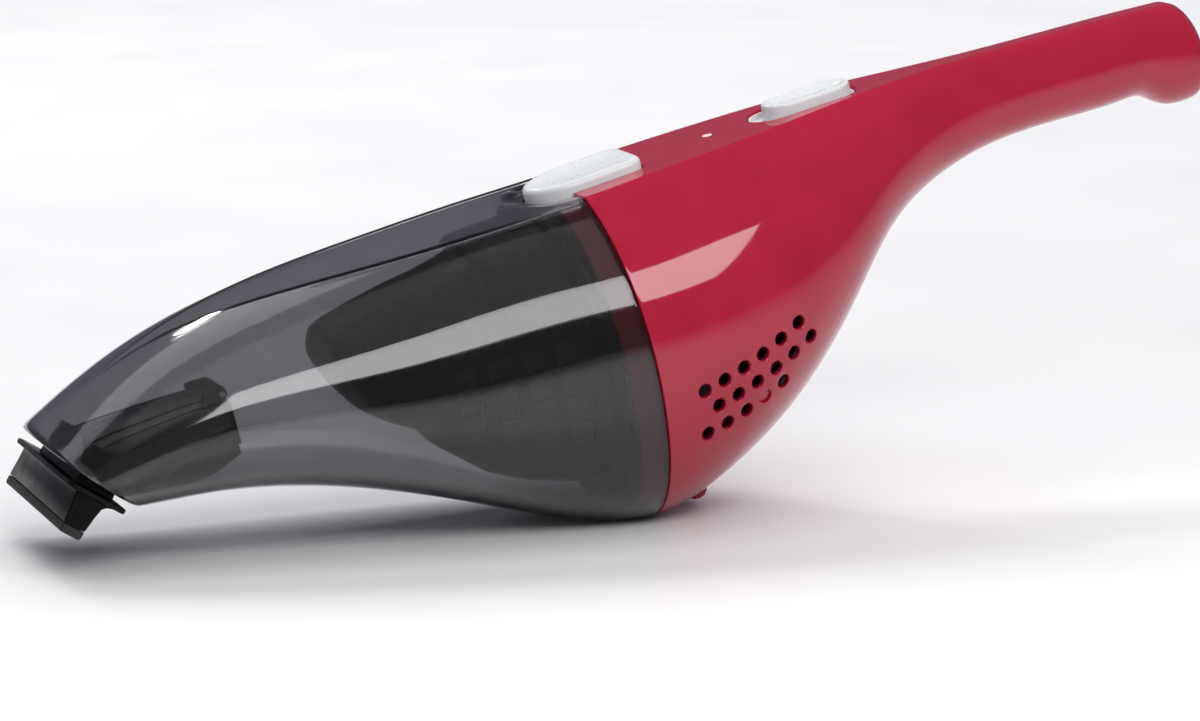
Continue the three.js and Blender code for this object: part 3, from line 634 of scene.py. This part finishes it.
# ---- collar behind the cup's rim ----
def front_collar():
    stations = [(-8.0, 3.1), (-7.7, 2.9), (0, 2.9), (7.6, 2.9), (8.0, 3.1), (8.0, 4.9), (0, 4.9), (-7.7, 4.9),
                (-8.0, 4.7)]
    rings = []
    for x, inset in stations:
        row = np.full((1, len(KIND)), x)
        rings.append(around(row, *skin(row, inset))[0])
    band = ring_band("collar", rings)
    notch = np.array([(-9.5, -13.2), (9.5, -13.2), (9.5, 13.2), (-9.5, 13.2)])
    boolean(band, prism("notch", notch, 43.6, 60))
    row = np.full((1, len(KIND)), 2.8)
    outline = around(row, *skin(row, 4.7))[0]
    turn = np.arctan2(outline[:, 2] - 2, outline[:, 1])
    hole = np.column_stack([outline[:, 0], 19 * np.cos(turn), 2 + 19 * np.sin(turn)])
    shift = np.array([0.8, 0, 0])
    wall = ring_band("bulkhead", [outline - shift, outline + shift, hole + shift, hole - shift])
    boolean(wall, prism("notch", notch, 43.6, 60))
    spokes = []
    for angle in (0, 60, 120):
        a = math.radians(angle)
        corners = [(-1.0, -20.5), (1.0, -20.5), (1.0, 20.5), (-1.0, 20.5)]
        ring = np.array([(0, u * math.cos(a) + v * math.sin(a), 2 - u * math.sin(a) + v * math.cos(a))
                         for u, v in corners])
        spokes.append(loft("spoke", [ring + [2.0, 0, 0], ring + [3.6, 0, 0]]))
    seat = prism("seat", np.array([(7, -6), (19.4, -6), (19.4, 6), (7, 6)]), 37.9, 39.2)
    return combine("collar_ring", [band, wall, seat] + spokes)


# ---- button, key and bezel ----
def release_button():
    outline = button_outline(0.0)
    slope = (54.4 - 53.0) / (BUTTON_BACK - BUTTON_FRONT)

    def rim(x):
        return 53.0 + slope * (x - BUTTON_FRONT) - 0.04
    length = BUTTON_BACK - BUTTON_FRONT
    centre = np.array([BUTTON_FRONT + length * 0.5, 0.0])
    rings = [level(outline, 47.8)]
    profile = [(0.0, -1.7), (0.1, -1.15), (0.34, -0.65), (0.75, -0.25), (1.3, -0.04), (1.9, 0.0),
               (2.6, -0.08), (3.3, -0.27), (4.2, -0.52), (5.4, -0.75), (6.8, -0.92), (8.6, -1.02),
               (10.4, -1.07), (12.2, -1.08)]
    for inset, drop in profile:
        factor = np.array([1 - inset / (length / 2), 1 - inset / BUTTON_HALF])
        ring = centre + (outline - centre) * factor
        rings.append(level(ring, lambda x, d=drop: rim(x) + d))
    top = loft("button_top", rings)
    stem = rod("stem", "z", 42, 48.4, 14, 0, 2.2)
    hook = prism("hook", np.array([(-6.8, -4), (-1.8, -4), (-1.8, 4), (-6.8, 4)]), 46.2, 48.4)
    return combine("button", [top, stem, bevel(hook, 0.3)])


def power_key():
    """Pill-shaped key: tall sides, a rounded edge and a hollow top with curved ribs across it."""
    front, back, half = KNOB
    middle = (front + back) / 2
    rings = []
    outline = pill(front, back, half, 0.0, 60, 28)
    rings.append(level(outline, 49.8))
    depths = [0.0, 0.05, 0.2, 0.45, 0.8, 1.25, 1.8, 2.4, 3.0, 3.6, 4.2, 4.8, 5.4, 6.0, 6.5, 6.9, 7.15]
    for depth in depths:
        ring = pill(front, back, half, depth, 60, 28)
        round_edge = 0.9 - math.sqrt(max(0.0, 0.81 - max(0.0, 0.9 - depth) ** 2))
        x, y = ring[:, 0], ring[:, 1]
        hollow = 1.15 * smoothstep(1.0, 4.6, depth)
        arc = x - middle + 0.055 * y * y
        ribs = 0.32 * np.maximum(0, np.cos(arc * 2 * math.pi / 3.4)) ** 2
        ribs *= smoothstep(1.6, 3.2, depth) * (1 - smoothstep(6.4, 8.6, np.abs(arc)))
        lift = 0.35 * ((x - middle) / (back - middle)) ** 2
        rings.append(np.column_stack([ring, 54.6 + lift - round_edge - hollow + ribs]))
    cap = loft("key_cap", rings)
    stem = prism("key_stem", np.array([(84.6, -1.2), (89.6, -1.2), (89.6, 1.2), (84.6, 1.2)]), 40, 50.2)
    return combine("key", [cap, stem])


def key_bezel():
    """White tray in the recess, with the slot that the key's stem moves in."""
    rings = []
    for inset, z in ((0.35, 48.7), (0.35, 50.9), (0.5, 51.12), (0.75, 51.15), (1.0, 51.0), (1.3, 49.9),
                     (1.7, 49.55)):
        rings.append(level(pill(*RECESS, inset=inset), z))
    slot = pill(72.6, 92.4, 2.4)
    rings += [level(slot, 49.5), level(slot, 48.7)]
    return ring_band("bezel", rings)


# ---- snout: duct and tool ----
def duct_ring(x, half, low, shoulder, crown, inset):
    """A hump: flat floor, short upright sides, a narrow ledge on each side, then an arch."""
    h, lo, sh, cr = half - inset, low + inset, shoulder - inset * 0.3, crown - inset
    ledge = 1.7 * half / 26
    points = [(-h + 1.5, lo), (-h + 0.5, lo + 0.4), (-h, lo + 1.4), (-h, sh - 0.8), (-h + 0.15, sh - 0.4),
              (-h + ledge * 0.8, sh + 0.5), (-h + ledge, sh + 0.6)]
    inner_half = h - ledge
    for a in np.radians(np.linspace(6, 90, 15)):
        points.append((-inner_half * math.cos(a), sh + 0.6 + (cr - sh - 0.6) * math.sin(a)))
    mirrored = [(-y, z) for y, z in points[-2::-1]]
    floor = [(h * f, lo) for f in (0.6, 0.2, -0.2, -0.6)]
    return np.array([(x, y, z) for y, z in points + mirrored + floor])


def tool_frame(points):
    """Points of the nozzle's own frame, -x outwards and z along the mouth, in the axis frame."""
    c, s = math.cos(MOUTH_TILT), math.sin(MOUTH_TILT)
    x, y, z = np.moveaxis(np.asarray(points, float), -1, 0)
    return np.stack([MOUTH_X + x * c - z * s, y, MOUTH_Z + x * s + z * c], -1)


def within_cup(ring, clear):
    """The ring's points, drawn in where they would pass the cup's inner face less a clearance."""
    drawn = []
    for x, y, z in ring:
        half, height = [v[0] for v in skin(np.full((1, len(KIND)), x), CUP_WALL + clear)]
        centre = (height.max() + height.min()) / 2
        turn = np.arctan2(height - centre, half)[::-1]
        reach = np.interp(math.atan2(z - centre, abs(y)), turn, np.hypot(half, height - centre)[::-1])
        shrink = min(1, reach / max(0.1, math.hypot(y, z - centre)))
        drawn.append((x, y * shrink, centre + (z - centre) * shrink))
    return np.array(drawn)


def along_duct(t, z):
    """Where a fraction of the duct's length is: 0 follows the slanted mouth and 1 is the square end."""
    return (1 - t) * (mouth_line(z) + 0.9) - t * 119.6


def inlet_duct():
    """A hump-shaped tube from the slanted mouth to a square end, with rails and ears for the flap's pin."""
    stations = [(0, 31.0, 0.0, 8.6, 24.0), (0.16, 29.4, 0.0, 10.0, 25.0), (0.34, 27.2, 1.6, 11.6, 25.8),
                (0.54, 24.8, 3.6, 12.8, 26.0), (0.76, 22.4, 5.8, 14.2, 26.0), (0.96, 20.3, 7.6, 15.5, 25.4),
                (1, 19.9, 8.0, 15.8, 25.2)]

    def ring(station, inset):
        t, half, low, shoulder, crown = station
        points = duct_ring(0, half, low, shoulder, crown, inset)
        points[:, 0] = along_duct(t, points[:, 2])
        return within_cup(points, 0.3 + inset)
    faces = [ring(s, 0.0) for s in stations] + [ring(s, 1.5) for s in stations[::-1]]
    parts = [ring_band("duct_hull", faces), mouth_plate()]
    for side in (-1, 1):
        ear = prism("ear", np.array([(-124.4, side * 10.5), (-119.9, side * 10.5), (-119.9, side * 8.7),
                                     (-124.4, side * 8.7)]), 21, 27.0)
        parts += [bevel(ear, 0.4), bevel(rod("knob", "y", side * 8.7, side * 10.5, -118.4, 25.2, 1.7), 0.3)]
        for out in (15.0, 11.4, 8.2):
            rail = []
            for t, half, low, shoulder, crown in stations[1:]:
                reach = out * half / 20
                arch = math.sqrt(max(0, 1 - (reach / (half - 1.7)) ** 2))
                z = shoulder + 0.6 + (crown - shoulder - 0.6) * arch
                x = along_duct(t, z)
                profile = ((-0.35, -0.8), (0.35, -0.8), (0.35, 0.5), (-0.35, 0.5))
                rail.append(within_cup([(x, side * (reach + dy), z + dz) for dy, dz in profile], 0.3))
            parts.append(loft("rail", rail))
    return combine("duct", parts)


def mouth_plate():
    """The plate that fills the snout's mouth round the duct, along the slanted edge."""
    x = mouth_start(CUP_WALL + 0.35)
    outline = around(x, *skin(x, CUP_WALL + 0.35))[0]
    centre = (outline[:, 2].max() + outline[:, 2].min()) / 2
    z = centre + (outline[:, 2] - centre) * 0.62
    hole = np.column_stack([mouth_line(z), outline[:, 1] * 0.76, z])
    return ring_band("mouth_plate", [ring + [shift, 0, 0] for ring, shift in (
        (outline, 0.9), (outline, 3.0), (hole, 3.0), (hole, 0.9))])


def rounded_ring(x, half, low, high, radius, steps=5):
    points = []
    for cy, cz, start in ((-half + radius, high - radius, 90), (-half + radius, low + radius, 180),
                          (half - radius, low + radius, 270), (half - radius, high - radius, 0)):
        for a in np.radians(np.linspace(start, start + 90, steps)):
            points.append((x, cy + radius * math.cos(a), cz + radius * math.sin(a)))
    return tool_frame(points)


def squeegee_nozzle():
    flange = loft("flange", [
        rounded_ring(-4.98, 33.2, -7.4, 11.0, 2.4), rounded_ring(-4.8, 33.55, -7.75, 11.35, 2.7),
        rounded_ring(-3.6, 33.6, -7.8, 11.4, 2.7), rounded_ring(-3.42, 33.2, -7.4, 11.0, 2.4)])
    block = loft("block", [
        rounded_ring(-14.4, 34.2, 0.8, 7.4, 0.9), rounded_ring(-14.1, 34.45, 0.6, 7.6, 1.1),
        rounded_ring(-9.5, 33.5, -0.3, 7.9, 1.1), rounded_ring(-6.6, 32.9, -1.1, 8.2, 1.1),
        rounded_ring(-5.6, 32.7, -2.2, 8.35, 1.1), rounded_ring(-4.9, 32.6, -4.5, 8.6, 1.1)])
    slot = loft("mouth", [rounded_ring(-16, 31, 2.2, 6.0, 1.2), rounded_ring(-6.0, 27, 0.6, 6.2, 1.2)])
    boolean(block, slot)
    plug = ring_band("plug", [rounded_ring(x, half, low, high, 1.6) for x, half, low, high in (
        (-4.2, 23, -6, 7), (8, 21.5, -5, 6), (8, 19.8, -3.6, 4.6), (-4.2, 21.2, -4.5, 5.5))])
    return combine("nozzle", [flange, block, plug])


def squeegee_lip():
    return ring_band("lip", [rounded_ring(x, half, low, high, radius) for x, half, low, high, radius in (
        (-14.7, 34.45, 0.6, 7.6, 1.1), (-16.4, 34.5, 0.62, 7.55, 1.1), (-17.1, 34.3, 0.85, 7.3, 0.9),
        (-17.3, 33.9, 1.3, 6.9, 0.6), (-17.1, 31.4, 1.9, 6.3, 0.6), (-16.6, 31.0, 2.2, 6.0, 0.6),
        (-14.7, 31.0, 2.2, 6.0, 0.6))])


# ---- filter ----
CAGE = np.array([
    [-84.0, 29.5, 17.0, 17.0],
    [-82.2, 32.5, 12.5, 21.0],
    [-77.0, 34.0, 4.5, 25.5],
    [-70.0, 35.2, -1.5, 28.5],
    [-61.5, 36.6, -7.0, 30.5],
    [-58.5, 37.0, -13.0, 32.0],
    [-46.5, 38.2, -24.5, 35.0],
    [-36.5, 40.3, -30.0, 37.0],
    [-34.5, 42.6, -31.0, 38.0],
    [-12.9, 43.0, -38.5, 41.5],
])


def cage_ring(x, top, bottom, half, inset, steps=26):
    mid = (top + bottom) / 2
    half, top, bottom = half - inset, top - inset, bottom + inset
    facet, keel = half * 0.3, half * 0.2
    up, down = (top - mid) / math.sqrt(1 - 0.09), (mid - bottom) / math.sqrt(1 - 0.04)
    side = [(half * math.sin(a), mid + up * math.cos(a))
            for a in np.linspace(math.asin(facet / half), math.pi / 2, steps)]
    side += [(half * math.sin(a), mid - down * math.cos(a))
             for a in np.linspace(math.pi / 2, math.asin(keel / half), steps)[1:]]
    near = [(x, -y, z) for y, z in side]
    far = [(x, y, z) for y, z in side[::-1]]
    return np.array(near + far)


def filter_screen():
    """Moulded pre-filter: a closed hood with slotted windows and a reinforced rear rim."""
    rows = []
    for i in range(len(CAGE) - 1):
        for t in np.linspace(0, 1, 3, endpoint=False):
            rows.append(CAGE[i] * (1 - t) + CAGE[i + 1] * t)
    rows.append(CAGE[-1])
    outer = [cage_ring(*(rows[0] + [-0.4, -2.0, 2.0, -2.5]), 0.0)]
    outer += [cage_ring(*row, 0.0) for row in rows]
    inner = [cage_ring(row[0] + 1.3, *row[1:], 1.3) for row in rows[::-1]]
    inner[0] = cage_ring(rows[-1][0], *rows[-1][1:], 1.3)
    rings = outer + inner
    count = len(rings[0])
    faces = grid_faces(len(rings), count, close_columns=True)
    faces += [tuple(range(count)), tuple(reversed(range((len(rings) - 1) * count, len(rings) * count)))]
    hood = build("hood", np.concatenate(rings), faces)
    slots = []
    for x, low, high in ((-52, -6, 16), (-42, -12, 16), (-32, -16, 16), (-22, -18, 16)):
        for i in range(4):
            z = low + (high - low) * (i + 0.5) / 4
            h = (high - low) / 8 - 0.8
            outline = np.array([(x - 3.4, -60.0), (x + 3.4, -60.0), (x + 3.4, 60.0), (x - 3.4, 60.0)])
            slots.append(prism("slot", outline, z - h, z + h))
    return boolean(hood, combine("slots", slots))


def filter_rim():
    """Flange of the filter, which seals against the collar, with its pull grip."""
    rings = []
    for x, inset in ((-12.6, 5.7), (-12.4, 5.5), (-10.1, 5.5), (-9.9, 5.7), (-9.9, 14.5), (-12.6, 14.5)):
        row = np.full((1, len(KIND)), x)
        rings.append(around(row, *skin(row, inset))[0])
    rim = ring_band("rim", rings)
    grip = prism("grip", np.array([(-19.6, -6), (-12.1, -6), (-12.1, 6), (-19.6, 6)]), 41.8, 43.6)
    return combine("filter_rim", [rim, bevel(grip, 0.4)])


# ---- put the machine together ----
finish(cup_shell(), "cup", SMOKE, ["dust_cup"], 28)
finish(body_half(-1), "body", RED, ["housing_left"], 28)
finish(body_half(1), "body", RED, ["housing_right"], 28)
finish(screw_wells(), "body", RED)
finish(foot_tab(), "body", RED)
finish(front_collar(), "body", RED, ["front_collar"])
finish(release_button(), "cup_button", WHITE, ["release_button"])
finish(power_key(), "power_key", WHITE, ["switch_knob"], 40)
finish(key_bezel(), "body", WHITE, ["switch_bezel"])
finish(inlet_duct(), "cup", DUCT, ["inlet_duct"])
finish(squeegee_nozzle(), "tool", BLACK, ["squeegee_nozzle"])
finish(squeegee_lip(), "tool", RUBBER, ["squeegee_lip"])
finish(filter_screen(), "filter", FILTER, ["filter_screen"])
finish(filter_rim(), "filter", FILTER, ["filter_frame"])

# CAD nodes that are shown as they are get rounded edges and the finish of what they are made of
KEPT = {
    "intake_flap": RUBBER, "flap_pin": STEEL, "filter_element": CLOTH, "filter_seal": RUBBER,
    "motor_seal": RUBBER, "fan_shroud": GREY, "motor_holder": GREY, "motor_can": STEEL,
    "motor_end_cap": GREY, "front_bush": BRONZE, "rear_bush": BRONZE, "motor_shaft": STEEL,
    "impeller": BLACK, "armature": WINDING, "battery_cell_1": CELL, "battery_cell_2": CELL,
    "battery_cell_3": CELL, "battery_cell_4": CELL, "battery_holder": GREY, "circuit_board": BOARD,
    "switch_module": GREY, "release_spring": STEEL, "charge_light": LAMP, "charge_socket": GREY,
    "shell_screw_1": STEEL, "shell_screw_2": STEEL, "shell_screw_3": STEEL, "shell_screw_4": STEEL,
}
for name, material in KEPT.items():
    node = frame["nodes"][name]
    node.data.materials.clear()
    node.data.materials.append(material)
    edge = node.modifiers.new("edge", "BEVEL")
    edge.width = 0.0002
    edge.segments = 2
    edge.limit_method = "ANGLE"
    edge.angle_limit = math.radians(40)

# ---- studio ----
scene = bpy.context.scene


def stage_plane(name, width, depth, centre, material):
    mesh = bpy.data.meshes.new(name)
    x, y, z = centre
    corners = [(x + i * width / 2, y + j * depth / 2, z) for i, j in ((-1, -1), (1, -1), (1, 1), (-1, 1))]
    mesh.from_pydata(corners, [], [(0, 1, 2, 3)])
    obj = bpy.data.objects.new(name, mesh)
    mesh.materials.append(material)
    scene.collection.objects.link(obj)
    return obj


def floor_material():
    material, nodes, links, shader = new_material("floor_white")
    drift = noise(nodes, links, 2.0)
    links.new(tint(nodes, links, remap(nodes, links, drift, 0, 1), (0.80, 0.80, 0.81), (0.82, 0.82, 0.825)),
              shader.inputs["Base Color"])
    gloss = noise(nodes, links, 9.0)
    links.new(remap(nodes, links, gloss, 0.30, 0.36), shader.inputs["Roughness"])
    return material


stage_plane("floor", 12.0, 12.0, (0, 0, -0.0001), floor_material())


def softbox(name, azimuth, elevation, distance, width, height, power, color=(1, 1, 1), target=(0, 0, 0.06)):
    """Area light at a direction measured from -Y towards +X, turned to face the machine."""
    light = bpy.data.lights.new(name, "AREA")
    light.shape = "RECTANGLE"
    light.size, light.size_y = width, height
    light.energy = power
    light.color = color
    obj = bpy.data.objects.new(name, light)
    a, e = math.radians(azimuth), math.radians(elevation)
    way = Vector((math.sin(a) * math.cos(e), -math.cos(a) * math.cos(e), math.sin(e)))
    obj.location = Vector(target) + way * distance
    obj.rotation_euler = way.to_track_quat("Z", "Y").to_euler()
    scene.collection.objects.link(obj)
    return obj


softbox("front_softbox", -1.6, 36.4, 0.54, 0.53, 0.21, 2.4, target=(0, -0.05, 0.10))
softbox("nose_strip", -173, 35, 1.6, 0.12, 0.08, 2.4, target=(-0.13, -0.02, 0.10))


def overhead(name, place_at, width, depth, power):
    """Large softbox that hangs over the floor and faces straight down; it is not seen in reflections."""
    light = bpy.data.lights.new(name, "AREA")
    light.shape = "RECTANGLE"
    light.size, light.size_y = width, depth
    light.energy = power
    obj = bpy.data.objects.new(name, light)
    obj.location = place_at
    obj.visible_glossy = False
    scene.collection.objects.link(obj)


overhead("back_overhead", (0.1, 1.4, 1.7), 3.6, 1.2, 52)
overhead("front_overhead", (0, -0.7, 2.0), 2.4, 2.0, 23)


def sun(name, way, strength, spread):
    """The key light, far off, which casts the soft shadow on the floor."""
    light = bpy.data.lights.new(name, "SUN")
    light.energy = strength
    light.angle = math.radians(spread)
    obj = bpy.data.objects.new(name, light)
    obj.rotation_euler = Vector(way).to_track_quat("Z", "Y").to_euler()
    obj.visible_glossy = False
    scene.collection.objects.link(obj)


sun("key", (0.27, 0.95, 1.9), 0.42, 12)


def studio_world():
    """A dim room, cooler on its far side."""
    world = bpy.data.worlds.new("studio")
    world.use_nodes = True
    nodes, links = world.node_tree.nodes, world.node_tree.links
    direction = nodes.new("ShaderNodeTexCoord")
    split = nodes.new("ShaderNodeSeparateXYZ")
    links.new(direction.outputs["Generated"], split.inputs[0])
    behind = remap(nodes, links, split.outputs[1], 0, 1, 0.0, 0.5)
    sides = tint(nodes, links, behind, (0.20, 0.20, 0.20), (0.14, 0.14, 0.18))
    links.new(sides, nodes["Background"].inputs["Color"])
    return world


scene.world = studio_world()

# ---- camera ----
camera_data = bpy.data.cameras.new("camera")
camera = bpy.data.objects.new("camera", camera_data)
scene.collection.objects.link(camera)
camera_data.lens = 128.67
camera_data.sensor_width = 36.0
camera.location = (-0.4672, -1.1963, 0.2919)
camera.rotation_euler = Vector((-0.3483, -0.9183, 0.1883)).to_track_quat("Z", "Y").to_euler()
scene.camera = camera
scene.view_settings.view_transform = "Standard"
